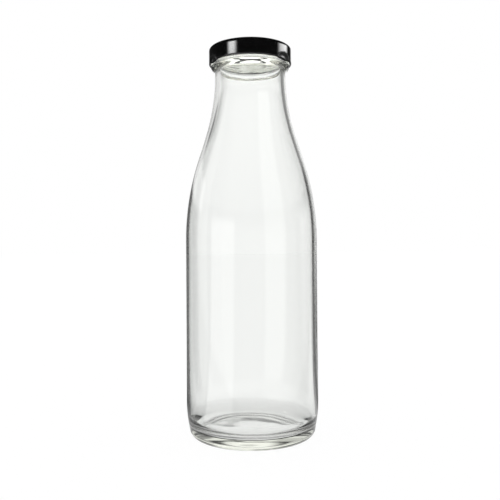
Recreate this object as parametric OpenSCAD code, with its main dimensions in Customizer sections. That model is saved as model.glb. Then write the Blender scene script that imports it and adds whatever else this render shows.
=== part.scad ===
// Clear glass milk bottle with a twist-off lug cap.
// Three real pieces: the moulded bottle, the pressed cap shell and the sealing ring inside it.
// Frame: origin at the centre of the base on the standing surface, +Z up, +Y towards the back.
// At rest the cap is seated with its lugs in the gaps between the glass threads,
// where it lifts straight off; a clockwise turn carries the lugs under the threads.

/* [Body] */
// Outer radius of the straight side
body_r = 40.5; // [38:0.5:44]
// Height where the straight side ends and the shoulder begins
shoulder_z = 120; // [105:1:130]
// How much of the side above the shoulder is curved, where 1 would leave no straight stretch
curved_share = 0.98; // [0.7:0.01:0.99]
// How much of that curvature's radius goes to the shoulder, the rest to the neck
shoulder_share = 0.549; // [0.4:0.001:0.65]
// Thickness of the side wall
body_wall = 2.2; // [1.8:0.1:3]

/* [Base] */
// Height where the foot of the straight side begins to turn in
heel_z = 22; // [18:1:26]
// Radius of the long, gentle curve of the heel
heel_curve = 84; // [60:1:100]
// Radius of the tight curve down to the bearing ring
heel_r = 5.7; // [4.5:0.1:7]
// Inner radius of the bearing ring that the bottle stands on
recess_r = 30.6; // [27:0.1:31]
// Height of the step from the bearing ring up to the domed underside
recess_h = 1.8; // [1.4:0.1:2.4]
// Height of the middle of the domed underside above the standing surface
pushup_h = 3.6; // [2.8:0.1:4.2]
// Height of the inside floor where it meets the corner curve
floor_z = 6.2; // [5.2:0.1:8]
// How much the middle of the inside floor stands above its edge
floor_crown = 1.4; // [0.6:0.1:2]
// Radius of the inside corner between floor and wall
floor_corner = 9; // [6:0.5:11]

/* [Neck and finish] */
// Outer radius at the slimmest part of the neck
neck_r = 21.75; // [21:0.05:22]
// Height of the slimmest part of the neck
neck_z = 223; // [219:0.5:223.5]
// Radius of the mouth bore
mouth_r = 18.9; // [17.5:0.1:19.5]
// Height of the sealing rim, the top of the glass
rim_z = 237.2; // [236.9:0.1:237.4]
// Outer radius of the transfer bead below the cap
bead_r = 24.1; // [23.6:0.1:24.6]
// Outer radius of the finish wall between the threads
finish_r = 22.5; // [22.1:0.1:22.6]
// Outer radius over the threads
thread_r = 23.65; // [23.3:0.05:23.8]
// Angle that each thread covers
thread_span = 83; // [70:1:86]
// Tilt of each thread out of the level plane
thread_tilt = 2.9; // [2:0.1:3.2]
// Height of the middle of each thread
thread_z = 231.7; // [231.6:0.1:232.2]

/* [Cap] */
// Outer radius of the cap skirt
cap_r = 25.5; // [25.4:0.1:25.8]
// Height of the top face of the seated cap
cap_top = 238.5; // [238.4:0.1:238.7]
// Height of the lower edge of the seated cap
cap_bottom = 228.2; // [228.2:0.1:228.4]
// Thickness of the tinplate, with its lacquer
sheet = 0.3; // [0.25:0.05:0.35]
// Radius of the rounded top edge
cap_edge = 1.8; // [1.4:0.1:2]
// Radius of the rolled curl at the foot of the skirt
curl_r = 0.7; // [0.6:0.05:0.75]
// Number of lugs, which is also the number of threads
lugs = 3; // [3]
// Angle that each lug covers
lug_span = 24; // [16:1:26]
// How far a lug is pressed in from the line of the skirt
lug_dent = 1.2; // [1:0.05:1.25]
// Bearing of the first lug about +Z, counted from +X
lug_bearing = -36; // [-90:1:90]
// Outer radius of the sunk middle panel of the cap
panel_r = 17.4; // [15:0.1:17.6]
// Depth of the sunk middle panel
panel_drop = 0.6; // [0.3:0.1:0.7]

/* [Sealing ring] */
// Clearance between the sealing ring and the pieces around it
seal_gap = 0.1; // [0.08:0.01:0.14]
// Inner radius of the sealing ring
seal_r = 19.1; // [18.8:0.1:19.6]
// Depth of the ring's outer lip below the rim of the glass
seal_lip = 1; // [0.6:0.1:1.2]

/* [Hidden] */

$fn = 96;
CURVE_STEPS = 12;
ROUND_STEPS = 6;

glass_colour = [0.80, 0.87, 0.84, 0.4];
lacquer_colour = [0.03, 0.03, 0.035];
seal_colour = [0.88, 0.87, 0.82];

// The bearing ring ends where the tight heel curve meets the standing surface.
heel_reach = heel_curve - heel_r;
bearing_r = body_r - heel_curve + sqrt(pow(heel_reach, 2) - pow(heel_z - heel_r, 2));
heel_turn = asin((heel_z - heel_r) / heel_reach);
ring_round = 1.2;

// The glass gets thicker from the body up to the neck, whose bore is as wide as the mouth.
inner_body_r = body_r - body_wall;

// The bead has a rounded crest and a sloping underside.
bead_round = 1.4;
bead_z = 226.7;
bead_foot_turn = -50;
bead_top_turn = 75;
bead_top_z = bead_z + bead_round;
rim_round_out = 1.1;
rim_round_in = 1.5;

// Each thread is a low ridge, wider at its root, sunk into the wall of the finish.
thread_pitch = 360 / lugs;
thread_root_half = 1.3;
thread_crest_half = 0.55;
thread_sunk = 0.8;

// The curl's lip ends below the threads, and each lug slopes out to the skirt above its foot.
// The hollow behind a lug is cut from a sector that runs past the skirt and its foot.
curl_lip_z = cap_bottom + 1.8;
lug_in_r = cap_r - lug_dent - 2 * curl_r;
lug_depth = 1.1;
lug_clear = 0.25;
lug_top_z = cap_bottom + 2;
lug_foot_z = cap_bottom + 1.3;
lug_slope = 1.6;
lug_head_z = lug_foot_z + lug_slope * lug_dent + 2 * lug_clear;
lug_lap = 1.5;
pocket_over = 1;
panel_step = 1;

// Points along an arc about a centre, from one angle to another.
function arc(centre, radius, from, to, steps) =
    [for (i = [0:steps]) let (a = from + (to - from) * i / steps) centre + radius * [cos(a), sin(a)]];

// Side of the bottle from the straight body to the neck: an outward arc, the straight line
// that touches both arcs, and an inward arc that ends upright at the neck. The two radii
// add up to the given share of the most that the inset and the climb have room for.
function shoulder(low_r, high_r) =
    let (
        inset = low_r - high_r,
        climb = neck_z - shoulder_z,
        radii = curved_share * (pow(inset, 2) + pow(climb, 2)) / (2 * inset),
        out_curve = shoulder_share * radii,
        in_curve = radii - out_curve,
        out_centre = [low_r - out_curve, shoulder_z],
        in_centre = [high_r + in_curve, neck_z],
        link = in_centre - out_centre,
        turn = atan2(link.y, link.x) - acos(radii / norm(link))
    )
    concat(
        arc(out_centre, out_curve, 0, turn, CURVE_STEPS),
        arc(in_centre, in_curve, 180 + turn, 180, CURVE_STEPS)
    );

// Shallow dome through a middle height and an edge height, from the axis outwards.
function dome(middle_z, edge_z, edge_r) =
    let (
        rise = middle_z - edge_z,
        radius = (pow(edge_r, 2) + pow(rise, 2)) / (2 * rise),
        half = asin(edge_r / radius)
    )
    arc([0, middle_z - radius], radius, 90, 90 - half, CURVE_STEPS);

function reversed(points) = [for (i = [len(points) - 1:-1:0]) points[i]];

// Outside of the glass, from the middle of the underside to the flat of the rim.
function glass_outside() = concat(
    dome(pushup_h, recess_h, recess_r),
    arc([recess_r + ring_round, ring_round], ring_round, 180, 270, ROUND_STEPS),
    arc([bearing_r, heel_r], heel_r, -90, -heel_turn, CURVE_STEPS),
    arc([body_r - heel_curve, heel_z], heel_curve, -heel_turn, 0, CURVE_STEPS),
    shoulder(body_r, neck_r),
    arc([bead_r - bead_round, bead_z], bead_round, bead_foot_turn, bead_top_turn, ROUND_STEPS),
    [[finish_r, bead_top_z]],
    arc([finish_r - rim_round_out, rim_z - rim_round_out], rim_round_out, 0, 90, ROUND_STEPS)
);

// Inside of the glass, from the middle of the floor to the flat of the rim.
function glass_inside() = concat(
    dome(floor_z + floor_crown, floor_z, inner_body_r - floor_corner),
    arc([inner_body_r - floor_corner, floor_z + floor_corner], floor_corner, -90, 0, CURVE_STEPS),
    shoulder(inner_body_r, mouth_r),
    arc([mouth_r + rim_round_in, rim_z - rim_round_in], rim_round_in, 180, 90, ROUND_STEPS)
);

// One raised thread: a sector of a ridge tilted about the radius through its middle.
module thread_ridge() {
    rotate([thread_tilt, 0, 0])
        rotate([0, 0, -thread_span / 2])
            rotate_extrude(angle = thread_span)
                polygon([
                    [finish_r - thread_sunk, -thread_root_half],
                    [thread_r, -thread_crest_half],
                    [thread_r, thread_crest_half],
                    [finish_r - thread_sunk, thread_root_half]
                ]);
}

// The bottle is one moulding: body, neck, bead and threads are a single piece of glass.
module bottle() {
    color(glass_colour) union() {
        rotate_extrude()
            polygon(concat(glass_outside(), reversed(glass_inside())));
        for (i = [0:lugs - 1])
            rotate([0, 0, lug_bearing + (i + 0.5) * thread_pitch])
                translate([0, 0, thread_z])
                    thread_ridge();
    }
}

// Section of the pressed sheet: panel, rounded edge, skirt and the curl rolled inwards at its foot.
function cap_section() =
    let (
        edge_centre = [cap_r - cap_edge, cap_top - cap_edge],
        curl_centre = [cap_r - curl_r, cap_bottom + curl_r],
        lip_r = cap_r - 2 * curl_r
    )
    concat(
        [[0, cap_top - panel_drop], [panel_r, cap_top - panel_drop], [panel_r + panel_step, cap_top]],
        arc(edge_centre, cap_edge, 90, 0, ROUND_STEPS),
        arc(curl_centre, curl_r, 0, -180, 2 * ROUND_STEPS),
        [[lip_r, curl_lip_z], [lip_r + sheet, curl_lip_z]],
        arc(curl_centre, curl_r - sheet, -180, 0, 2 * ROUND_STEPS),
        arc(edge_centre, cap_edge - sheet, 0, 90, ROUND_STEPS),
        [
            [panel_r + panel_step + sheet / 2, cap_top - sheet],
            [panel_r + sheet / 2, cap_top - panel_drop - sheet],
            [0, cap_top - panel_drop - sheet]
        ]
    );

// Extrudes a section round the axis over the given angle, centred on the +X side.
module sector(span) {
    rotate([0, 0, -span / 2])
        rotate_extrude(angle = span)
            children();
}

// Lug seen from inside: the foot of the skirt pressed in to pass under a thread.
module lug_block() {
    sector(lug_span + 2 * lug_lap)
        polygon([
            [lug_in_r, cap_bottom + lug_clear],
            [lug_in_r, lug_top_z],
            [lug_in_r + lug_depth, lug_top_z],
            [cap_r - sheet - lug_clear, lug_head_z],
            [cap_r - sheet / 2, lug_head_z],
            [cap_r - sheet / 2, cap_bottom + curl_r],
            [cap_r - curl_r, cap_bottom + lug_clear]
        ]);
}

// Hollow that the pressed lug leaves on the outside of the skirt.
module lug_pocket() {
    sector(lug_span)
        polygon([
            [cap_r - lug_dent, cap_bottom - pocket_over],
            [cap_r - lug_dent, lug_foot_z],
            [cap_r + pocket_over, lug_foot_z + (pocket_over + lug_dent) * lug_slope],
            [cap_r + pocket_over, cap_bottom - pocket_over]
        ]);
}

// The cap shell is one pressing.
module cap_shell() {
    color(lacquer_colour) difference() {
        union() {
            rotate_extrude()
                polygon(cap_section());
            for (i = [0:lugs - 1])
                rotate([0, 0, lug_bearing + i * thread_pitch])
                    lug_block();
        }
        for (i = [0:lugs - 1])
            rotate([0, 0, lug_bearing + i * thread_pitch])
                lug_pocket();
    }
}

// Sealing ring that lies in the channel of the cap and over the rim of the glass.
module cap_gasket() {
    face_z = rim_z + seal_gap;
    back_z = cap_top - sheet - seal_gap;
    edge_centre = [cap_r - cap_edge, cap_top - cap_edge];
    outer_round = cap_edge - sheet - seal_gap;
    lip_z = rim_z - seal_lip;
    lip_in_r = thread_r + seal_gap;
    color(seal_colour)
        rotate_extrude()
            polygon(concat(
                [[seal_r, face_z], [finish_r + seal_gap, face_z], [lip_in_r, lip_z]],
                [[edge_centre.x + outer_round, lip_z]],
                arc(edge_centre, outer_round, 0, 90, ROUND_STEPS),
                [[seal_r, back_z]]
            ));
}

bottle();
cap_shell();
cap_gasket();
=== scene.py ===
"""Looks of the glass milk bottle: a lathed glass body, a pressed black cap and its sealing ring."""

import logging
import math
from dataclasses import dataclass
from enum import Enum

import bpy
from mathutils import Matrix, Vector, noise


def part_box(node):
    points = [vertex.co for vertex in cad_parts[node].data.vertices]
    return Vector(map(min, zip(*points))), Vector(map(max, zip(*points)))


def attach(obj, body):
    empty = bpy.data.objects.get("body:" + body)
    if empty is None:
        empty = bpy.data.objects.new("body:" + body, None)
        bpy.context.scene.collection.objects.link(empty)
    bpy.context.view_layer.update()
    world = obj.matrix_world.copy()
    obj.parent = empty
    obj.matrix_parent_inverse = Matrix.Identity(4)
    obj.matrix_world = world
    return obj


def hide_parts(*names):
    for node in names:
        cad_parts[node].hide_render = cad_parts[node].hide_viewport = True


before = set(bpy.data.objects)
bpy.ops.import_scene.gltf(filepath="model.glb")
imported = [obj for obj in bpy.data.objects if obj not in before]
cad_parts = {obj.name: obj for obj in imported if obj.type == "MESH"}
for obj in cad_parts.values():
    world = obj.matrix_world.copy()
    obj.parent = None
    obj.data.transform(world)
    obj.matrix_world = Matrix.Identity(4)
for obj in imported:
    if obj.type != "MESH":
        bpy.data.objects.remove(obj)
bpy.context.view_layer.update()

LOG = logging.getLogger("milk_bottle")
MM = 0.001
AXIS = (0.0, 0.0, 1.0)
ORIGIN = (0.0, 0.0, 0.0)
SAME_POINT = 1e-7
WELD = 2e-6
KEY_DIGITS = 3
ROUNDNESS = 0.55
STARTS = 3
PLAIN_WHITE = (1.0, 1.0, 1.0, 1.0)

Point = tuple[float, float]
Triple = tuple[float, float, float]


class Side(Enum):
    """Which side of a wall a ring of the mesh lies on."""

    OUTSIDE = "outside"
    INSIDE = "inside"


class Coordinates(Enum):
    """Outputs of the Texture Coordinate node that the finishes and the studio read."""

    OBJECT = "Object"
    GENERATED = "Generated"


def arc(centre: Point, radius: float, start: float, end: float, steps: int) -> list[Point]:
    """Points along an arc.

    Args:
        centre: Middle of the circle, as radius and height.
        radius: Radius of the circle.
        start: Angle of the first point, in degrees.
        end: Angle of the last point, in degrees.
        steps: How many stretches the arc is cut into.

    Returns:
        The points from start to end, both included.
    """
    turns = [math.radians(start + (end - start) * i / steps) for i in range(steps + 1)]
    return [(centre[0] + radius * math.cos(a), centre[1] + radius * math.sin(a)) for a in turns]


def line(first: Point, last: Point, steps: int) -> list[Point]:
    """Points along a straight line.

    Args:
        first: Start of the line.
        last: End of the line.
        steps: How many stretches the line is cut into.

    Returns:
        The points from first to last, both included.
    """
    shares = [i / steps for i in range(steps + 1)]
    return [(first[0] + (last[0] - first[0]) * s, first[1] + (last[1] - first[1]) * s) for s in shares]


def sweep(first: Point, leave: Point, arrive: Point, last: Point, steps: int) -> list[Point]:
    """Points along a smooth cubic curve.

    Args:
        first: Start of the curve.
        leave: Control point that the curve leaves towards.
        arrive: Control point that the curve arrives from.
        last: End of the curve.
        steps: How many stretches the curve is cut into.

    Returns:
        The points from first to last, both included.
    """
    points = []
    for i in range(steps + 1):
        t = i / steps
        u = 1 - t
        weights = (u**3, 3 * u * u * t, 3 * u * t * t, t**3)
        corners = (first, leave, arrive, last)
        points.append(tuple(sum(w * c[k] for w, c in zip(weights, corners)) for k in (0, 1)))
    return points


def joined(*runs: list[Point]) -> list[Point]:
    """Joins runs of points into one, dropping points that repeat.

    Args:
        *runs: Runs in drawing order.

    Returns:
        One run without repeated neighbours.
    """
    points: list[Point] = []
    for run in runs:
        for p in run:
            if not points or math.dist(points[-1], p) > SAME_POINT:
                points.append(p)
    return points


def filleted(corners: list[Point], radius: float, steps: int) -> list[Point]:
    """Rounds every corner of a closed outline.

    Args:
        corners: Corners of the outline, in order.
        radius: Most that a corner is cut back along its sides.
        steps: How many stretches each rounded corner is cut into.

    Returns:
        The rounded outline, which starts and ends at the same point.
    """
    points: list[Point] = []
    count = len(corners)
    for i, corner in enumerate(corners):
        before, after = Vector(corners[i - 1]), Vector(corners[(i + 1) % count])
        here = Vector(corner)
        back, on = before - here, after - here
        cut_back, cut_on = min(radius, back.length / 2), min(radius, on.length / 2)
        first, last = here + back.normalized() * cut_back, here + on.normalized() * cut_on
        points = joined(points, sweep(tuple(first), tuple(first.lerp(here, ROUNDNESS)),
                                      tuple(last.lerp(here, ROUNDNESS)), tuple(last), steps))
    return points + [points[0]]


def eased(value: float, low: float, high: float) -> float:
    """Smooth step from 0 at low to 1 at high.

    Args:
        value: Value to place between the two.
        low: Where the step starts; it may be above high.
        high: Where the step ends.

    Returns:
        A share from 0 to 1.
    """
    t = min(max((value - low) / (high - low), 0.0), 1.0)
    return t * t * (3 - 2 * t)


def turn_between(first: float, second: float) -> float:
    """Signed angle from second to first, in degrees, from -180 to 180."""
    return (first - second + 180.0) % 360.0 - 180.0


class Workbench:
    """Steps of modelling by hand that every turned piece shares."""

    @staticmethod
    def clear_selection() -> None:
        """Leaves no object selected and none in edit mode."""
        if bpy.context.object and bpy.context.object.mode != "OBJECT":
            bpy.ops.object.mode_set(mode="OBJECT")
        bpy.ops.object.select_all(action="DESELECT")

    @classmethod
    def turned(cls, name: str, section: list[Point], segments: int) -> bpy.types.Object:
        """Draws a half section by extrusion and spins it round the axis.

        Args:
            name: Name of the new piece.
            section: Half section in millimetres, as radius and height.
            segments: How many faces go round the axis.

        Returns:
            The closed piece, facing outwards, with its place in its mesh.
        """
        cls.clear_selection()
        start = (section[0][0] * MM, 0.0, section[0][1] * MM)
        bpy.ops.mesh.primitive_plane_add(size=MM, location=start)
        piece = bpy.context.object
        piece.name = piece.data.name = name
        bpy.ops.object.transform_apply(location=True, rotation=True, scale=True)
        bpy.ops.object.mode_set(mode="EDIT")
        bpy.ops.mesh.select_mode(type="VERT")
        bpy.ops.mesh.select_all(action="SELECT")
        bpy.ops.mesh.merge(type="CENTER")
        for here, there in zip(section, section[1:]):
            step = ((there[0] - here[0]) * MM, 0.0, (there[1] - here[1]) * MM)
            bpy.ops.mesh.extrude_vertices_move(TRANSFORM_OT_translate={"value": step})
        bpy.ops.mesh.select_all(action="SELECT")
        bpy.ops.mesh.spin(steps=segments, angle=math.tau, center=ORIGIN, axis=AXIS)
        bpy.ops.mesh.select_all(action="SELECT")
        bpy.ops.mesh.remove_doubles(threshold=WELD)
        bpy.ops.mesh.normals_make_consistent(inside=False)
        bpy.ops.object.mode_set(mode="OBJECT")
        return piece

    @classmethod
    def finished(cls, piece: bpy.types.Object, crease: float) -> None:
        """Shades a piece smooth, apart from edges sharper than an angle.

        Args:
            piece: Piece to shade.
            crease: Sharpest bend that still shades smooth, in degrees.
        """
        cls.clear_selection()
        piece.select_set(True)
        bpy.context.view_layer.objects.active = piece
        bpy.ops.object.shade_smooth_by_angle(angle=math.radians(crease))
        piece.select_set(False)
        LOG.info("%s: %d faces", piece.name, len(piece.data.polygons))


class NodeBench:
    """Small helper that lays nodes into one node tree."""

    def __init__(self, tree: bpy.types.NodeTree) -> None:
        """Empties the tree that the nodes go into.

        Args:
            tree: Node tree of a material or of the world.
        """
        self.tree = tree
        tree.nodes.clear()

    def node(self, kind: str, **settings: object) -> bpy.types.Node:
        """Adds one node.

        Args:
            kind: Blender's name of the node type.
            **settings: Properties of the node to set.

        Returns:
            The new node.
        """
        made = self.tree.nodes.new(kind)
        for key, value in settings.items():
            setattr(made, key, value)
        return made

    def feed(self, socket: bpy.types.NodeSocket, value: object) -> None:
        """Sets a socket to a constant, or links another socket to it.

        Args:
            socket: Input to feed.
            value: A constant or an output socket.
        """
        if isinstance(value, bpy.types.NodeSocket):
            self.tree.links.new(value, socket)
        else:
            socket.default_value = value

    def math(self, operation: str, *values: object) -> bpy.types.NodeSocket:
        """Adds a Math node.

        Args:
            operation: Name of the operation.
            *values: Constants or sockets, in order.

        Returns:
            The result's socket.
        """
        made = self.node("ShaderNodeMath", operation=operation)
        for socket, value in zip(made.inputs, values):
            self.feed(socket, value)
        return made.outputs["Value"]

    def ramp(self, value: object, low: float, high: float, start: float, end: float,
             smooth: bool = True) -> bpy.types.NodeSocket:
        """Maps a value from one range to another, held at the ends.

        Args:
            value: Socket to map.
            low: Value that gives start.
            high: Value that gives end.
            start: Result at low.
            end: Result at high.
            smooth: Whether the change eases in and out.

        Returns:
            The result's socket.
        """
        kind = "SMOOTHSTEP" if smooth else "LINEAR"
        made = self.node("ShaderNodeMapRange", interpolation_type=kind, clamp=True)
        for name, item in zip(("Value", "From Min", "From Max", "To Min", "To Max"),
                              (value, low, high, start, end)):
            self.feed(made.inputs[name], item)
        return made.outputs["Result"]

    def mixed(self, share: object, first: Triple, second: Triple) -> bpy.types.NodeSocket:
        """Mixes two colours.

        Args:
            share: Pattern from 0 to 1.
            first: Colour where the pattern is 0.
            second: Colour where the pattern is 1.

        Returns:
            The colour's socket.
        """
        # The node has a set of sockets for each kind of data, so they are picked by number.
        made = self.node("ShaderNodeMix", data_type="RGBA")
        for index, item in ((0, share), (6, (*first, 1.0)), (7, (*second, 1.0))):
            self.feed(made.inputs[index], item)
        return made.outputs[2]

    def between(self, share: object, first: object, second: object) -> bpy.types.NodeSocket:
        """Mixes two numbers.

        Args:
            share: Socket from 0 to 1.
            first: Number or socket where the share is 0.
            second: Number or socket where the share is 1.

        Returns:
            The number's socket.
        """
        made = self.node("ShaderNodeMix", data_type="FLOAT")
        for index, item in ((0, share), (2, first), (3, second)):
            self.feed(made.inputs[index], item)
        return made.outputs[0]

    def place(self, coordinates: Coordinates) -> bpy.types.NodeSocket:
        """Coordinates that a pattern is laid out in."""
        return self.node("ShaderNodeTexCoord").outputs[coordinates.value]

    def noise(self, place: object, scale: float, detail: float = 2.0,
              stretch: Triple = (1.0, 1.0, 1.0)) -> bpy.types.NodeSocket:
        """Adds a noise pattern.

        Args:
            place: Coordinates socket.
            scale: Repeats in one metre.
            detail: How many finer layers are added.
            stretch: Scale of the coordinates along each axis.

        Returns:
            The pattern's factor socket.
        """
        mapping = self.node("ShaderNodeMapping")
        self.feed(mapping.inputs["Vector"], place)
        self.feed(mapping.inputs["Scale"], stretch)
        made = self.node("ShaderNodeTexNoise")
        self.feed(made.inputs["Vector"], mapping.outputs["Vector"])
        self.feed(made.inputs["Scale"], scale)
        self.feed(made.inputs["Detail"], detail)
        return made.outputs["Fac"]

    def bump(self, height: object, distance: float, under: object = None) -> bpy.types.NodeSocket:
        """Adds a bump layer.

        Args:
            height: Height pattern from 0 to 1.
            distance: Height of the pattern in metres.
            under: Normal of the layer below it, if any.

        Returns:
            The normal's socket.
        """
        made = self.node("ShaderNodeBump")
        self.feed(made.inputs["Height"], height)
        self.feed(made.inputs["Distance"], distance)
        if under is not None:
            self.feed(made.inputs["Normal"], under)
        return made.outputs["Normal"]


class Recipe(NodeBench):
    """Node bench of a new material, with its shader joined to its output."""

    def __init__(self, name: str) -> None:
        """Starts the material.

        Args:
            name: Name of the material.
        """
        self.material = bpy.data.materials.new(name)
        self.material.use_nodes = True
        super().__init__(self.material.node_tree)
        self.shader = self.node("ShaderNodeBsdfPrincipled")
        self.output = self.node("ShaderNodeOutputMaterial")
        self.feed(self.output.inputs["Surface"], self.shader.outputs["BSDF"])

    def give(self, socket: str, value: object) -> None:
        """Feeds a socket of the shader, given its name."""
        self.feed(self.shader.inputs[socket], value)


@dataclass(frozen=True)
class GlassFinish:
    """Clear glass, faintly green in depth, dulled underneath and stippled on its bearing ring."""

    name: str = "clear_glass"
    tint: Triple = (0.985, 0.992, 0.985)
    index: float = 1.52
    depth_colour: Triple = (0.80, 0.83, 0.62)
    depth_density: float = 6.0
    wave_repeats: float = 55.0
    wave_height: float = 0.00002
    wave_stretch: Triple = (1.0, 1.0, 0.35)
    stipple_repeats: float = 1600.0
    stipple_height: float = 0.00012
    stipple_low: float = 0.5
    stipple_high: float = 0.62
    stipple_top: float = 0.0009
    stipple_roughness: float = 0.3
    underside_top: float = 0.0055
    underside_roughness: float = 0.14

    def made(self) -> bpy.types.Material:
        """Builds the material.

        Returns:
            The new material.
        """
        bench = Recipe(self.name)
        place = bench.place(Coordinates.OBJECT)
        parts = bench.node("ShaderNodeSeparateXYZ")
        bench.feed(parts.inputs["Vector"], place)
        on_ring = bench.ramp(parts.outputs["Z"], 0.0, self.stipple_top, 1.0, 0.0)
        waves = bench.noise(place, self.wave_repeats, detail=1.0, stretch=self.wave_stretch)
        grain = bench.noise(place, self.stipple_repeats, detail=0.0)
        raised = bench.ramp(grain, self.stipple_low, self.stipple_high, 0.0, 1.0)
        dots = bench.math("MULTIPLY", raised, on_ring)
        rolling = bench.bump(waves, self.wave_height)
        normal = bench.bump(dots, self.stipple_height, rolling)
        bench.give("Base Color", (*self.tint, 1.0))
        bench.give("IOR", self.index)
        bench.give("Transmission Weight", 1.0)
        underneath = bench.ramp(parts.outputs["Z"], 0.0, self.underside_top,
                                self.underside_roughness, 0.0)
        bench.give("Roughness", bench.math(
            "MAXIMUM", underneath, bench.math("MULTIPLY", on_ring, self.stipple_roughness)))
        bench.give("Normal", normal)
        depth = bench.node("ShaderNodeVolumeAbsorption")
        bench.feed(depth.inputs["Color"], (*self.depth_colour, 1.0))
        bench.feed(depth.inputs["Density"], self.depth_density)
        bench.feed(bench.output.inputs["Volume"], depth.outputs["Volume"])
        return bench.material


@dataclass(frozen=True)
class LacquerFinish:
    """Gloss black lacquer on tinplate, with a faint orange peel and fine rubs."""

    name: str = "black_lacquer"
    deep: Triple = (0.0004, 0.0004, 0.0005)
    pale: Triple = (0.0009, 0.0009, 0.0009)
    peel_repeats: float = 900.0
    peel_height: float = 0.000004
    cloud_repeats: float = 120.0
    rub_repeats: float = 500.0
    rub_stretch: Triple = (1.0, 1.0, 6.0)
    fresh: float = 0.1
    worn: float = 0.45
    smoothest: float = 0.1
    roughest: float = 0.16
    index: float = 1.52
    coat: float = 1.0
    coat_index: float = 1.5
    coat_roughness: float = 0.08

    def made(self) -> bpy.types.Material:
        """Builds the material.

        Returns:
            The new material.
        """
        bench = Recipe(self.name)
        place = bench.place(Coordinates.OBJECT)
        clouds = bench.noise(place, self.cloud_repeats, detail=3.0)
        rubs = bench.noise(place, self.rub_repeats, detail=2.0, stretch=self.rub_stretch)
        peel = bench.noise(place, self.peel_repeats, detail=1.0)
        bench.give("Base Color", bench.mixed(clouds, self.deep, self.pale))
        wear = bench.math("MULTIPLY", clouds, rubs)
        bench.give("Roughness",
                   bench.ramp(wear, self.fresh, self.worn, self.smoothest, self.roughest, smooth=False))
        bench.give("IOR", self.index)
        bench.give("Coat Weight", self.coat)
        bench.give("Coat IOR", self.coat_index)
        bench.give("Coat Roughness", self.coat_roughness)
        bench.give("Normal", bench.bump(peel, self.peel_height))
        return bench.material


@dataclass(frozen=True)
class EnamelFinish:
    """White lining lacquer on the inside of the cap."""

    name: str = "white_lining"
    light: Triple = (0.80, 0.80, 0.78)
    shade: Triple = (0.68, 0.68, 0.65)
    cloud_repeats: float = 160.0
    cloud_low: float = 0.35
    cloud_high: float = 0.7
    rough_low: float = 0.3
    peel_repeats: float = 900.0
    peel_height: float = 0.000005
    smoothest: float = 0.28
    roughest: float = 0.42

    def made(self) -> bpy.types.Material:
        """Builds the material.

        Returns:
            The new material.
        """
        bench = Recipe(self.name)
        place = bench.place(Coordinates.OBJECT)
        clouds = bench.noise(place, self.cloud_repeats, detail=3.0)
        patches = bench.ramp(clouds, self.cloud_low, self.cloud_high, 0.0, 1.0)
        bench.give("Base Color", bench.mixed(patches, self.light, self.shade))
        bench.give("Roughness", bench.ramp(
            clouds, self.rough_low, self.cloud_high, self.smoothest, self.roughest, smooth=False))
        peel = bench.noise(place, self.peel_repeats, detail=1.0)
        bench.give("Normal", bench.bump(peel, self.peel_height))
        return bench.material


@dataclass(frozen=True)
class CompoundFinish:
    """Off-white sealing compound: satin, with faint flow marks and specks."""

    name: str = "seal_compound"
    light: Triple = (0.80, 0.79, 0.73)
    shade: Triple = (0.66, 0.64, 0.57)
    flow_repeats: float = 220.0
    flow_stretch: Triple = (1.0, 1.0, 3.0)
    flow_low: float = 0.3
    flow_high: float = 0.7
    speck_repeats: float = 1800.0
    flow_height: float = 0.00003
    smoothest: float = 0.38
    roughest: float = 0.6

    def made(self) -> bpy.types.Material:
        """Builds the material.

        Returns:
            The new material.
        """
        bench = Recipe(self.name)
        place = bench.place(Coordinates.OBJECT)
        flow = bench.noise(place, self.flow_repeats, detail=3.0, stretch=self.flow_stretch)
        specks = bench.noise(place, self.speck_repeats, detail=1.0)
        blotches = bench.math("MULTIPLY", flow, specks)
        bench.give("Base Color", bench.mixed(blotches, self.light, self.shade))
        bench.give("Roughness", bench.ramp(
            flow, self.flow_low, self.flow_high, self.smoothest, self.roughest, smooth=False))
        bench.give("Normal", bench.bump(flow, self.flow_height))
        return bench.material


@dataclass(frozen=True)
class Ripple:
    """Slow unevenness left by the mould: repeats in a metre along each axis, and its start."""

    repeats: Triple
    start: Triple

    def at(self, place: Vector) -> float:
        """Pattern at a place, from about -1 to 1."""
        return noise.noise(Vector([p * r + s for p, r, s in zip(place, self.repeats, self.start)]))


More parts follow.
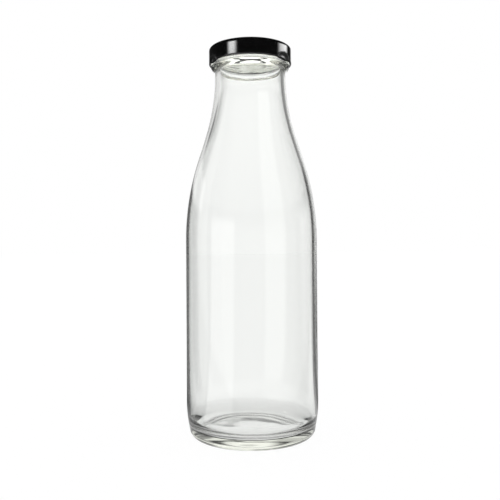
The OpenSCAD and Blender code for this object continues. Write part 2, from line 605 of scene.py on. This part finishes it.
@dataclass
class GlassBottle:
    """The moulded bottle: base, heel, body, shoulder, neck, bead, threads and rim. Sizes in mm."""

    segments: int = 240
    crease: float = 50.0
    shoulder_z: float = 120.0
    neck_z: float = 223.0
    neck_r: float = 21.75
    curved_share: float = 0.98
    shoulder_share: float = 0.549
    body_wall: float = 2.2
    heel_z: float = 22.0
    heel_curve: float = 84.0
    heel_r: float = 5.7
    recess_r: float = 30.6
    recess_h: float = 1.8
    pushup_h: float = 3.6
    ring_round: float = 1.2
    floor_z: float = 6.2
    floor_crown: float = 1.4
    floor_corner: float = 9.0
    bead_r: float = 24.1
    bead_round: float = 1.4
    bead_z: float = 226.7
    bead_start: float = -50.0
    bead_end: float = 60.0
    neck_pull: float = 1.5
    foot_pull: Point = (0.8, 0.68)
    crest_pull: Point = (0.55, 0.32)
    wall_pull: float = 0.5
    wall_lead: float = 0.7
    finish_r: float = 22.5
    mouth_r: float = 18.9
    rim_round_out: float = 1.1
    rim_round_in: float = 1.5
    thread_rise: float = 1.15
    thread_z: float = 231.7
    thread_half: float = 1.25
    thread_span: float = 83.0
    thread_tilt: float = 2.9
    thread_bearing: float = 24.0
    thread_fade: float = 9.0
    thread_flat: float = 0.35
    seam_bearing: float = -94.0
    seam_share: float = 0.51
    seam_rise: float = 0.12
    seam_from: Point = (222.0, 227.0)
    seam_to: Point = (0.3, 2.0)
    body_seam_rise: float = 0.02
    body_seam_from: Point = (8.0, 20.0)
    body_seam_to: Point = (226.0, 218.0)
    axis_r: float = 0.01
    cavity_shift: float = -0.45
    shift_from: Point = (8.0, 30.0)
    shift_to: Point = (215.0, 150.0)
    cavity_wave: float = 0.16
    cavity_ripple: Ripple = Ripple((34.0, 34.0, 13.0), (0.0, 0.0, 5.0))
    cavity_from: Point = (12.0, 45.0)
    cavity_to: Point = (225.0, 180.0)
    skin_wave: float = 0.045
    skin_ripple: Ripple = Ripple((30.0, 30.0, 11.0), (9.0, 0.0, 0.0))
    skin_from: Point = (22.0, 60.0)
    skin_to: Point = (222.0, 190.0)
    floor_lump: float = 0.22
    floor_ripple: Ripple = Ripple((75.0, 75.0, 40.0), (3.0, 0.0, 0.0))
    floor_to: Point = (26.0, 12.0)
    underside_lump: float = 0.12
    underside_ripple: Ripple = Ripple((90.0, 90.0, 0.0), (0.0, 7.0, 0.0))
    underside_edge: Point = (0.5, 6.0)

    def __post_init__(self) -> None:
        """Takes the body's radius and the rim's height from the frame."""
        _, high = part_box("bottle")
        self.body_r = high.x / MM
        self.rim_z = high.z / MM
        self.inner_r = self.body_r - self.body_wall
        self.sides: dict[Point, Side] = {}

    def shoulder(self, low_r: float, high_r: float, steps: int) -> list[Point]:
        """Side from the straight body to the neck: an outward arc, a line and an inward arc.

        Args:
            low_r: Radius of the body.
            high_r: Radius of the neck.
            steps: How many stretches each arc is cut into.

        Returns:
            Points from the foot of the shoulder to the neck.
        """
        inset, climb = low_r - high_r, self.neck_z - self.shoulder_z
        radii = self.curved_share * (inset**2 + climb**2) / (2 * inset)
        out_curve = self.shoulder_share * radii
        in_curve = radii - out_curve
        out_centre = (low_r - out_curve, self.shoulder_z)
        in_centre = (high_r + in_curve, self.neck_z)
        link = (in_centre[0] - out_centre[0], in_centre[1] - out_centre[1])
        turn = math.degrees(math.atan2(link[1], link[0]) - math.acos(radii / math.hypot(*link)))
        return joined(arc(out_centre, out_curve, 0, turn, steps),
                      arc(in_centre, in_curve, 180 + turn, 180, steps))

    def dome(self, middle_z: float, edge_z: float, edge_r: float, steps: int) -> list[Point]:
        """Shallow dome from the axis outwards.

        Args:
            middle_z: Height at the axis.
            edge_z: Height at the edge.
            edge_r: Radius of the edge.
            steps: How many stretches it is cut into.

        Returns:
            Points from the axis to the edge.
        """
        rise = middle_z - edge_z
        radius = (edge_r**2 + rise**2) / (2 * rise)
        half = math.degrees(math.asin(edge_r / radius))
        return arc((0.0, middle_z - radius), radius, 90, 90 - half, steps)

    def outside(self) -> list[Point]:
        """Outside of the glass.

        Returns:
            Points from the middle of the underside to the flat of the rim.
        """
        reach = self.heel_curve - self.heel_r
        climb = self.heel_z - self.heel_r
        bearing_r = self.body_r - self.heel_curve + math.sqrt(reach**2 - climb**2)
        heel_turn = math.degrees(math.asin(climb / reach))
        bead = arc((self.bead_r - self.bead_round, self.bead_z), self.bead_round,
                   self.bead_start, self.bead_end, steps=10)
        foot, crest = bead[0], bead[-1]
        wall_foot = (self.finish_r, self.bead_z + self.bead_round + self.wall_lead)
        wall_head = (self.finish_r, self.rim_z - self.rim_round_out)
        return joined(
            self.dome(self.pushup_h, self.recess_h, self.recess_r, steps=14),
            arc((self.recess_r + self.ring_round, self.ring_round), self.ring_round,
                180, 270, steps=7),
            arc((bearing_r, self.heel_r), self.heel_r, -90, -heel_turn, steps=14),
            arc((self.body_r - self.heel_curve, self.heel_z), self.heel_curve,
                -heel_turn, 0, steps=10),
            line((self.body_r, self.heel_z), (self.body_r, self.shoulder_z), steps=14),
            self.shoulder(self.body_r, self.neck_r, steps=22),
            sweep((self.neck_r, self.neck_z), (self.neck_r, self.neck_z + self.neck_pull),
                  (foot[0] - self.foot_pull[0], foot[1] - self.foot_pull[1]), foot, steps=8),
            bead,
            sweep(crest, (crest[0] - self.crest_pull[0], crest[1] + self.crest_pull[1]),
                  (self.finish_r, wall_foot[1] - self.wall_pull), wall_foot, steps=5),
            line(wall_foot, wall_head, steps=26),
            arc((self.finish_r - self.rim_round_out, wall_head[1]), self.rim_round_out,
                0, 90, steps=7),
        )

    def inside(self) -> list[Point]:
        """Inside of the glass.

        Returns:
            Points from the middle of the floor to the flat of the rim.
        """
        corner_r = self.inner_r - self.floor_corner
        corner_z = self.floor_z + self.floor_corner
        return joined(
            self.dome(self.floor_z + self.floor_crown, self.floor_z, corner_r, steps=10),
            arc((corner_r, corner_z), self.floor_corner, -90, 0, steps=12),
            line((self.inner_r, corner_z), (self.inner_r, self.shoulder_z), steps=16),
            self.shoulder(self.inner_r, self.mouth_r, steps=22),
            line((self.mouth_r, self.neck_z), (self.mouth_r, self.rim_z - self.rim_round_in),
                 steps=8),
            arc((self.mouth_r + self.rim_round_in, self.rim_z - self.rim_round_in),
                self.rim_round_in, 180, 90, steps=7),
        )

    def build(self) -> bpy.types.Object:
        """Turns the section, then moulds the threads, the seams and the uneven wall.

        Returns:
            The finished glass, without its material.
        """
        outside, inside = self.outside(), self.inside()
        self.sides = {self.key(p): Side.OUTSIDE for p in outside}
        self.sides.update({self.key(p): Side.INSIDE for p in inside[:-1]})
        piece = Workbench.turned("bottle_glass", joined(outside, inside[::-1]), self.segments)
        for vertex in piece.data.vertices:
            vertex.co = self.moulded(vertex.co)
        Workbench.finished(piece, self.crease)
        return piece

    @staticmethod
    def key(point: Point) -> Point:
        """Rounds a point of the section, so that a ring of the mesh finds its side again."""
        return (round(point[0], KEY_DIGITS), round(point[1], KEY_DIGITS))

    def side_of(self, radius: float, height: float) -> Side:
        """Side of the wall that a vertex lies on.

        Args:
            radius: Distance of the vertex from the axis, in mm.
            height: Height of the vertex, in mm.

        Returns:
            The side of the nearest point of the section.
        """
        key = self.key((radius, height))
        if key in self.sides:
            return self.sides[key]
        nearest = min(self.sides, key=lambda k: math.dist(k, (radius, height)))
        return self.sides[nearest]

    def moulded(self, place: Vector) -> Vector:
        """Moves one vertex from the plain turned shape to the moulded one.

        Args:
            place: Vertex of the turned shape, in metres.

        Returns:
            Its place in the finished glass.
        """
        radius, height = math.hypot(place.x, place.y) / MM, place.z / MM
        if radius < self.axis_r:
            return place
        turn = math.degrees(math.atan2(place.y, place.x))
        outward = Vector((place.x, place.y, 0.0)).normalized()
        if self.side_of(radius, height) is Side.INSIDE:
            share = eased(height, *self.shift_from) * eased(height, *self.shift_to)
            held = eased(height, *self.cavity_from)
            wave = self.cavity_wave * self.cavity_ripple.at(place)
            wall = wave * held * eased(height, *self.cavity_to)
            lift = self.floor_lump * self.floor_ripple.at(place) * eased(height, *self.floor_to)
            shift = Vector((self.cavity_shift * share, 0, lift))
            return place + (outward * wall + shift) * MM
        rise = self.thread_height(turn, height) + self.seam_height(turn, height)
        sunk = self.skin_wave * (self.skin_ripple.at(place) - 1.0)
        rise += sunk * eased(height, *self.skin_from) * eased(height, *self.skin_to)
        lift = 0.0
        edge, full = (self.recess_r - inset for inset in self.underside_edge)
        if radius < edge:
            lump = self.underside_lump * self.underside_ripple.at(place)
            lift = lump * eased(radius, edge, full)
        return place + (outward * rise + Vector((0, 0, lift))) * MM

    def thread_height(self, turn: float, height: float) -> float:
        """Rise of the lug threads above the wall of the finish.

        Args:
            turn: Bearing of the vertex, in degrees.
            height: Height of the vertex, in mm.

        Returns:
            Rise in mm, which is 0 between the threads.
        """
        rise = 0.0
        for start in range(STARTS):
            off = turn_between(turn, self.thread_bearing + 360 / STARTS * start)
            middle = self.thread_z + self.finish_r * math.sin(math.radians(off)) * math.sin(
                math.radians(self.thread_tilt))
            across = abs(height - middle) / self.thread_half
            along = (self.thread_span / 2 - abs(off)) / self.thread_fade
            if across < 1 and along > 0:
                flank = self.thread_rise * eased(across, 1.0, self.thread_flat)
                rise = max(rise, flank * eased(along, 0, 1))
        return rise

    def seam_height(self, turn: float, height: float) -> float:
        """Rise of the two mould seams, strong on the finish and faint on the body.

        Args:
            turn: Bearing of the vertex, in degrees.
            height: Height of the vertex, in mm.

        Returns:
            Rise in mm, which is 0 away from the seams.
        """
        step = 360 / self.segments
        fading, whole = (self.rim_z - below for below in self.seam_to)
        for bearing in (self.seam_bearing, self.seam_bearing + 180):
            if abs(turn_between(turn, bearing)) < step * self.seam_share and height > self.heel_r:
                strong = eased(height, *self.seam_from) * eased(height, fading, whole)
                faint = eased(height, *self.body_seam_from) * eased(height, *self.body_seam_to)
                return self.seam_rise * strong + self.body_seam_rise * faint
        return 0.0

    def dress(self, piece: bpy.types.Object) -> None:
        """Gives the bottle its finish and its place in the frame.

        Args:
            piece: The finished mesh.
        """
        piece.data.materials.append(GlassFinish().made())
        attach(piece, "bottle")
        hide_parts("bottle")


@dataclass
class LugCap:
    """The pressed cap shell: stepped panel, rounded edge, skirt, curl and three lugs. Sizes in mm."""

    segments: int = 240
    crease: float = 48.0
    sheet: float = 0.3
    edge: float = 1.8
    curl: float = 0.7
    curl_end: float = -268.0
    panel_r: float = 17.4
    panel_drop: float = 0.6
    panel_step: float = 1.0
    panel_crown: float = 0.12
    flat_r: float = 4.0
    flat_share: float = 0.95
    slope_r: float = 9.0
    slope_share: float = 0.85
    level_r: float = 13.0
    step_lead: float = 0.9
    step_low: float = 0.15
    step_high: float = 0.25
    step_tail: float = 0.5
    skirt_margin: float = 0.2
    lug_bearing: float = -36.0
    lug_half: float = 14.0
    lug_press: float = 1.2
    lug_height: float = 3.3
    lug_lift: float = 0.4
    lug_flat: float = 0.55
    knee_gap: float = 0.6

    def __post_init__(self) -> None:
        """Takes the skirt's radius and the cap's heights from the frame."""
        low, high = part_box("cap_shell")
        self.skirt_r = high.x / MM
        self.top = high.z / MM
        self.foot = low.z / MM

    def face(self, inset: float) -> list[Point]:
        """Line of the panel, edge and skirt, on the outside or a sheet's thickness inside it.

        Args:
            inset: Distance in from the outside of the sheet.

        Returns:
            Points from the middle of the panel to the head of the curl.
        """
        floor = self.top - self.panel_drop - inset
        ring = self.top - inset
        step_in, step_out = self.panel_r, self.panel_r + self.panel_step
        step_mid = (step_in + step_out) / 2
        bend = (self.skirt_r - self.edge, self.top - self.edge)
        skirt = self.skirt_r - inset
        knee = self.foot + self.lug_height + self.knee_gap
        flat = (self.flat_r, floor + self.panel_crown * self.flat_share)
        slope = (self.slope_r, floor + self.panel_crown * self.slope_share)
        step_foot, step_head = (step_in - self.step_lead, floor), (step_out + self.step_tail, ring)
        return joined(
            line((0.0, floor + self.panel_crown), flat, steps=2),
            sweep(flat, slope, (self.level_r, floor), step_foot, steps=8),
            sweep(step_foot, (step_mid - self.step_low, floor),
                  (step_mid - self.step_high, ring), step_head, steps=10),
            line(step_head, (bend[0], ring), steps=3),
            arc(bend, self.edge - inset, 90, 0, steps=9),
            line((skirt, bend[1]), (skirt, knee), steps=6),
            line((skirt, knee), (skirt, self.foot + self.curl), steps=10),
        )

    def section(self) -> list[Point]:
        """Half section of the sheet.

        Returns:
            Points along the outside, round the curl and back along the inside.
        """
        centre = (self.skirt_r - self.curl, self.foot + self.curl)
        return joined(
            self.face(0.0),
            arc(centre, self.curl, 0, self.curl_end, steps=18),
            arc(centre, self.curl - self.sheet, self.curl_end, 0, steps=16),
            self.face(self.sheet)[::-1],
        )

    def pressed(self, place: Vector) -> Vector:
        """Presses the foot of the skirt in where a lug is, as a smooth arch.

        Args:
            place: Vertex of the turned shape, in metres.

        Returns:
            Its place in the pressed shell.
        """
        radius, height = math.hypot(place.x, place.y) / MM, place.z / MM
        if radius < self.skirt_r - self.edge - self.skirt_margin:
            return place
        turn = math.degrees(math.atan2(place.y, place.x))
        up = max(height - self.foot - self.lug_lift, 0.0) / self.lug_height
        for lug in range(STARTS):
            bearing = self.lug_bearing + 360 / STARTS * lug
            off = abs(turn_between(turn, bearing)) / self.lug_half
            reach = math.hypot(off, up)
            if reach < 1:
                press = self.lug_press * eased(reach, 1.0, self.lug_flat)
                return place - Vector((place.x, place.y, 0.0)).normalized() * (press * MM)
        return place

    def line_inside(self, piece: bpy.types.Object) -> None:
        """Marks the faces on the inside of the sheet for the second finish.

        Args:
            piece: The turned shell, before its lugs are pressed.
        """
        lined = {GlassBottle.key(p) for p in self.face(self.sheet)}
        inner = {v.index for v in piece.data.vertices
                 if GlassBottle.key((math.hypot(v.co.x, v.co.y) / MM, v.co.z / MM)) in lined}
        for polygon in piece.data.polygons:
            polygon.material_index = int(all(v in inner for v in polygon.vertices))

    def build(self) -> bpy.types.Object:
        """Turns the section and presses the three lugs into its foot.

        Returns:
            The finished shell, without its materials.
        """
        piece = Workbench.turned("cap_shell_lacquered", self.section(), self.segments)
        self.line_inside(piece)
        for vertex in piece.data.vertices:
            vertex.co = self.pressed(vertex.co)
        Workbench.finished(piece, self.crease)
        return piece

    def dress(self, piece: bpy.types.Object) -> None:
        """Gives the cap its finish and its place in the frame.

        Args:
            piece: The finished mesh.
        """
        piece.data.materials.append(LacquerFinish().made())
        piece.data.materials.append(EnamelFinish().made())
        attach(piece, "cap")
        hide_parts("cap_shell")


@dataclass
class SealRing:
    """The ring of sealing compound in the cap's channel, over the rim of the glass. Sizes in mm."""

    segments: int = 240
    crease: float = 60.0
    inner_r: float = 19.1
    face_r: float = 22.6
    lip_r: float = 23.75
    lip_z: float = 236.2
    face_z: float = 237.3
    back_cut: float = 1.2
    soft: float = 0.35

    def __post_init__(self) -> None:
        """Takes the ring's outer radius and its back from the frame."""
        _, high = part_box("cap_gasket")
        self.outer_r = high.x / MM
        self.back_z = high.z / MM

    def build(self) -> bpy.types.Object:
        """Turns the rounded section of the ring.

        Returns:
            The finished ring, without its material.
        """
        outline = [
            (self.inner_r, self.face_z),
            (self.face_r, self.face_z),
            (self.lip_r, self.lip_z),
            (self.outer_r, self.lip_z),
            (self.outer_r, self.back_z - self.back_cut),
            (self.outer_r - self.back_cut, self.back_z),
            (self.inner_r, self.back_z),
        ]
        rounded = filleted(outline, self.soft, steps=5)
        piece = Workbench.turned("cap_seal_ring", rounded, self.segments)
        Workbench.finished(piece, self.crease)
        return piece

    def dress(self, piece: bpy.types.Object) -> None:
        """Gives the ring its finish and its place in the frame.

        Args:
            piece: The finished mesh.
        """
        piece.data.materials.append(CompoundFinish().made())
        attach(piece, "seal")
        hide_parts("cap_gasket")


@dataclass(frozen=True)
class Bay:
    """One stretch of the surroundings.

    Its bearing from +X, its half width and its soft edge are in degrees, and level is how bright
    it is.
    """

    bearing: float
    half: float
    soft: float
    level: float


@dataclass
class Studio:
    """Plain pale floor, the light, and the camera.

    The set is plain white in the open. What the object shows of it is staged: a ray that has been
    reflected once sees the bays, which draw the glass's outlines, and most others see a paler set.
    Heights and fades of the walls, the shade and the boxes are angles in degrees. The floor and the
    camera are in metres, apart from camera_side and the lens and sensor, in mm, and the roll, in
    degrees.
    """

    floor_half: float = 20.0
    white: float = 1.0
    dark: float = 0.06
    backdrop: Bay = Bay(84.5, 13, 16, 1.03)
    backdrop_rise: float = 1.05
    backdrop_top: float = 45.0
    backdrop_fade: float = 12.0
    left_wall: Bay = Bay(180, 8, 8, 0.25)
    left_front: Bay = Bay(219, 19, 8, 1.1)
    front: Bay = Bay(285, 42, 10, 0.45)
    right_wall: Bay = Bay(350, 15, 10, 0.25)
    right_back: Bay = Bay(22, 13, 6, 0.75)
    left_shade: Bay = Bay(141, 27, 6, 0.78)
    left_box: Bay = Bay(219, 4, 13, 10.5)
    right_box: Bay = Bay(14, 9, 16, 6.0)
    wall_top: float = 14.0
    wall_fade: float = 7.0
    front_top: float = 17.0
    shade_low: float = 9.0
    shade_high: float = 20.0
    shade_fade: float = 4.0
    high_dark: float = 0.02
    box_low: float = 16.4
    box_low_fade: float = 0.6
    box_high: float = 18.8
    box_high_fade: float = 1.0
    floor_glow: float = 0.93
    # Glow of the floor under the bottle's foot: painted shade, rising to floor_glow by under_end.
    painted_shade_glow: float = 0.76
    under_end: float = 0.13
    floor_albedo: float = 0.01
    floor_roughness: float = 0.9
    floor_white: float = 0.96
    dull_share: float = 0.85
    dull_edge: float = 0.05
    under_reach: float = 0.035
    # A thin darker ring in the floor's glow at ring_reach is a painted contact shadow under the bearing
    # ring.
    ring_reach: float = 0.0325
    ring_half: float = 0.001
    painted_ring_shadow: float = 0.35
    near_start: float = 0.035
    near_end: float = 0.09
    matte_fill: float = 4.6
    open_level: float = 0.98
    open_until: Point = (0.4, 0.6)
    deep_level: float = 0.6
    deep_from: Point = (1.4, 1.6)
    sharp_dim: float = 0.25
    camera_distance: float = 0.400
    camera_height: float = 0.1141
    camera_side: float = -0.93
    camera_roll: float = 0.4
    camera_lens: float = 46.44
    camera_sensor: float = 36.0
    camera_nearest: float = 0.01
    camera_farthest: float = 50.0

    def floor(self) -> None:
        """Lays the floor that the bottle stands on."""
        Workbench.clear_selection()
        bpy.ops.mesh.primitive_plane_add(size=2 * self.floor_half, location=ORIGIN)
        piece = bpy.context.object
        piece.name = piece.data.name = "studio_floor"
        piece.data.materials.append(self.floor_finish())
        piece.select_set(False)

    def window(self, bench: NodeBench, turn: object, bay: Bay) -> bpy.types.NodeSocket:
        """Soft-edged stretch of the surroundings at its own level.

        Args:
            bench: Node bench of the floor or the world.
            turn: Bearing about the axis, in radians.
            bay: The stretch.

        Returns:
            The bay's level within the stretch and 0 outside it.
        """
        shifted = bench.math("SUBTRACT", turn, math.radians(bay.bearing))
        away = bench.math("ABSOLUTE", bench.math("WRAP", shifted, math.pi, -math.pi))
        return bench.ramp(away, math.radians(bay.half), math.radians(bay.half + bay.soft),
                          bay.level, 0.0)

    def brightest(self, bench: NodeBench, *values: object) -> bpy.types.NodeSocket:
        """Largest of several sockets.

        Args:
            bench: Node bench of the floor or the world.
            *values: Sockets or numbers to compare.

        Returns:
            The largest one's socket.
        """
        top = values[0]
        for value in values[1:]:
            top = bench.math("MAXIMUM", top, value)
        return top

    def opened(self, bench: NodeBench, level: object) -> bpy.types.NodeSocket:
        """Brightens the bays for rays that haven't been reflected just once.

        Args:
            bench: Node bench of the floor or the world.
            level: Brightness of the bays, as seen in one reflection.

        Returns:
            The bays after one reflection, a paler set after more, and near white after none.
        """
        path = bench.node("ShaderNodeLightPath")
        reflections = path.outputs["Glossy Depth"]
        straight = bench.ramp(reflections, *self.open_until, self.open_level, 0.0)
        deep = bench.ramp(reflections, *self.deep_from, 0.0, self.deep_level)
        return self.brightest(bench, level, straight, deep)

    def seen_as(self, bench: NodeBench, level: object, plain: float) -> bpy.types.NodeSocket:
        """Keeps the set plain white in the open, and adds fill for matte surfaces.

        Args:
            bench: Node bench of the floor or the world.
            level: Brightness seen through or in the object.
            plain: Brightness seen in the open.

        Returns:
            Brightness for every kind of ray.
        """
        path = bench.node("ShaderNodeLightPath")
        matte = bench.math("MINIMUM", path.outputs["Diffuse Depth"], 1.0)
        filled = bench.math("ADD", level, bench.math("MULTIPLY", matte, self.matte_fill))
        return bench.between(path.outputs["Is Camera Ray"], filled, plain)

    def floor_finish(self) -> bpy.types.Material:
        """Pale floor: plain in the open, with the bays in it as the object shows them.

        Near the foot it has no bays, and its glow is dimmer under and around the foot as painted
        shade. Behind the bottle it is duller in rough reflections, and the ring that the bottle stands
        on is shaded by a painted contact shadow.

        Returns:
            The new material.
        """
        bench = Recipe("studio_floor")
        parts = bench.node("ShaderNodeSeparateXYZ")
        bench.feed(parts.inputs["Vector"], bench.place(Coordinates.OBJECT))
        turn = bench.math("ARCTAN2", parts.outputs["Y"], parts.outputs["X"])
        squares = bench.math("ADD", bench.math("POWER", parts.outputs["X"], 2.0),
                             bench.math("POWER", parts.outputs["Y"], 2.0))
        away = bench.math("SQRT", squares)
        far = self.brightest(bench, *(self.window(bench, turn, bay) for bay in (
            self.backdrop, self.left_wall, self.left_front, self.front, self.right_wall,
            self.right_back)))
        bays = bench.math("MAXIMUM", far, self.dark)
        by_foot = bench.ramp(away, self.near_start, self.near_end, 1.0, 0.0)
        opened = self.opened(bench, bench.between(by_foot, bays, 1.0))
        # Painted shade: the floor's glow is dimmer under and around the bottle's foot, in place of its
        # shadow.
        glow_with_painted_shade = bench.ramp(away, self.under_reach, self.under_end, self.painted_shade_glow, self.floor_glow)
        path = bench.node("ShaderNodeLightPath")
        dull = bench.math("MULTIPLY", path.outputs["Is Glossy Ray"],
                          bench.math("SUBTRACT", 1.0, path.outputs["Is Singular Ray"]))
        dull = bench.math("MULTIPLY", dull, path.outputs["Is Reflection Ray"])
        behind = bench.ramp(parts.outputs["Y"], -self.dull_edge, self.dull_edge, 0.0, 1.0)
        dull = bench.math("MULTIPLY", dull, behind)
        kept = bench.math("SUBTRACT", 1.0, bench.math("MULTIPLY", dull, self.dull_share))
        glow_with_painted_shade = bench.math("MULTIPLY", glow_with_painted_shade, kept)
        # Painted contact shadow: the glow is darker in a thin ring where the bottle's bearing ring
        # stands.
        from_ring = bench.math("ABSOLUTE", bench.math("SUBTRACT", away, self.ring_reach))
        glow_with_painted_shade = bench.math("MULTIPLY", glow_with_painted_shade, bench.ramp(from_ring, self.ring_half, 2 * self.ring_half,
                                                     self.painted_ring_shadow, 1.0))
        glow = self.seen_as(bench, bench.math("MULTIPLY", opened, glow_with_painted_shade), self.floor_white)
        bench.give("Base Color", (*(self.floor_albedo,) * 3, 1.0))
        bench.give("Roughness", self.floor_roughness)
        bench.give("Specular IOR Level", 0.0)
        bench.give("Emission Color", PLAIN_WHITE)
        bench.give("Emission Strength", glow)
        return bench.material

    def world(self) -> None:
        """Lights the set: a white backdrop, pale and dim walls, and two soft boxes.

        Sharp reflections don't show the boxes, and only they show the shade on the left and the
        faint light high up.
        """
        world = bpy.data.worlds.new("studio_world")
        bpy.context.scene.world = world
        world.use_nodes = True
        bench = NodeBench(world.node_tree)
        parts = bench.node("ShaderNodeSeparateXYZ")
        bench.feed(parts.inputs["Vector"], bench.place(Coordinates.GENERATED))
        turn = bench.math("ARCTAN2", parts.outputs["Y"], parts.outputs["X"])
        climb = bench.math("DEGREES", bench.math("ARCSINE", parts.outputs["Z"]))
        rising = bench.math("MULTIPLY", self.window(bench, turn, self.backdrop),
                            bench.ramp(climb, 0.0, self.wall_top, 1.0, self.backdrop_rise))
        back = bench.math("MULTIPLY", rising, bench.ramp(
            climb, self.backdrop_top, self.backdrop_top + self.backdrop_fade, 1.0, 0.0))
        under_wall_top = bench.ramp(climb, self.wall_top - self.wall_fade, self.wall_top, 1.0, 0.0)
        walls = self.brightest(bench, *(self.window(bench, turn, bay) for bay in (
            self.left_wall, self.left_front, self.right_back)))
        walls = bench.math("MULTIPLY", walls, under_wall_top)
        low = self.brightest(bench, *(self.window(bench, turn, bay)
                                      for bay in (self.front, self.right_wall)))
        low = bench.math("MULTIPLY", low, bench.ramp(climb, 0.0, self.front_top, 1.0, 0.0))
        pale_rows = bench.math(
            "MULTIPLY",
            bench.ramp(climb, self.shade_low, self.shade_low + self.shade_fade, 0.0, 1.0),
            bench.ramp(climb, self.shade_high, self.shade_high + self.shade_fade, 1.0, 0.0))
        sharp = bench.node("ShaderNodeLightPath").outputs["Is Singular Ray"]
        pale = bench.math("MULTIPLY", self.window(bench, turn, self.left_shade),
                          bench.math("MULTIPLY", pale_rows, sharp))
        band = bench.math(
            "MULTIPLY",
            bench.ramp(climb, self.box_low, self.box_low + self.box_low_fade, 0.0, 1.0),
            bench.ramp(climb, self.box_high, self.box_high + self.box_high_fade, 1.0, 0.0))
        boxes = bench.math("ADD", self.window(bench, turn, self.left_box),
                           self.window(bench, turn, self.right_box))
        band = bench.math("MULTIPLY", band, bench.math("SUBTRACT", 1.0, sharp))
        boxes = bench.math("MULTIPLY", boxes, band)
        dim = bench.ramp(climb, self.wall_top, self.box_low, self.dark, self.high_dark)
        high = bench.math("MULTIPLY", bench.ramp(climb, self.wall_top, self.box_low, 0.0,
                                                 self.sharp_dim), sharp)
        total = self.brightest(bench, back, walls, low, pale, boxes, dim, high)
        opened = self.opened(bench, total)
        share = bench.ramp(climb, self.wall_top, self.box_high, 1.0, 0.0)
        total = bench.between(share, total, opened)
        sky = bench.node("ShaderNodeBackground")
        bench.feed(sky.inputs["Color"], PLAIN_WHITE)
        bench.feed(sky.inputs["Strength"], self.seen_as(bench, total, self.white))
        output = bench.node("ShaderNodeOutputWorld")
        bench.feed(output.inputs["Surface"], sky.outputs["Background"])

    def camera(self) -> None:
        """Sets the camera in front of the bottle, level and just below the foot of the shoulder."""
        data = bpy.data.cameras.new("studio_camera")
        data.sensor_width = self.camera_sensor
        data.lens = self.camera_lens
        data.clip_start = self.camera_nearest
        data.clip_end = self.camera_farthest
        camera = bpy.data.objects.new("studio_camera", data)
        camera.location = (self.camera_side * MM, -self.camera_distance, self.camera_height)
        camera.rotation_euler = (math.pi / 2, math.radians(self.camera_roll), 0.0)
        bpy.context.scene.collection.objects.link(camera)
        bpy.context.scene.camera = camera
        bpy.context.scene.view_settings.view_transform = "Standard"

    def set_up(self) -> None:
        """Makes the camera, the light and the floor."""
        self.camera()
        self.world()
        self.floor()


def main() -> None:
    """Builds the studio and the three pieces."""
    logging.basicConfig(level=logging.INFO, format="%(name)s %(message)s")
    Studio().set_up()
    for maker in (GlassBottle(), LugCap(), SealRing()):
        piece = maker.build()
        maker.dress(piece)
        LOG.info("%s is dressed", piece.name)
    bpy.context.view_layer.update()


if __name__ == "__main__":
    main()
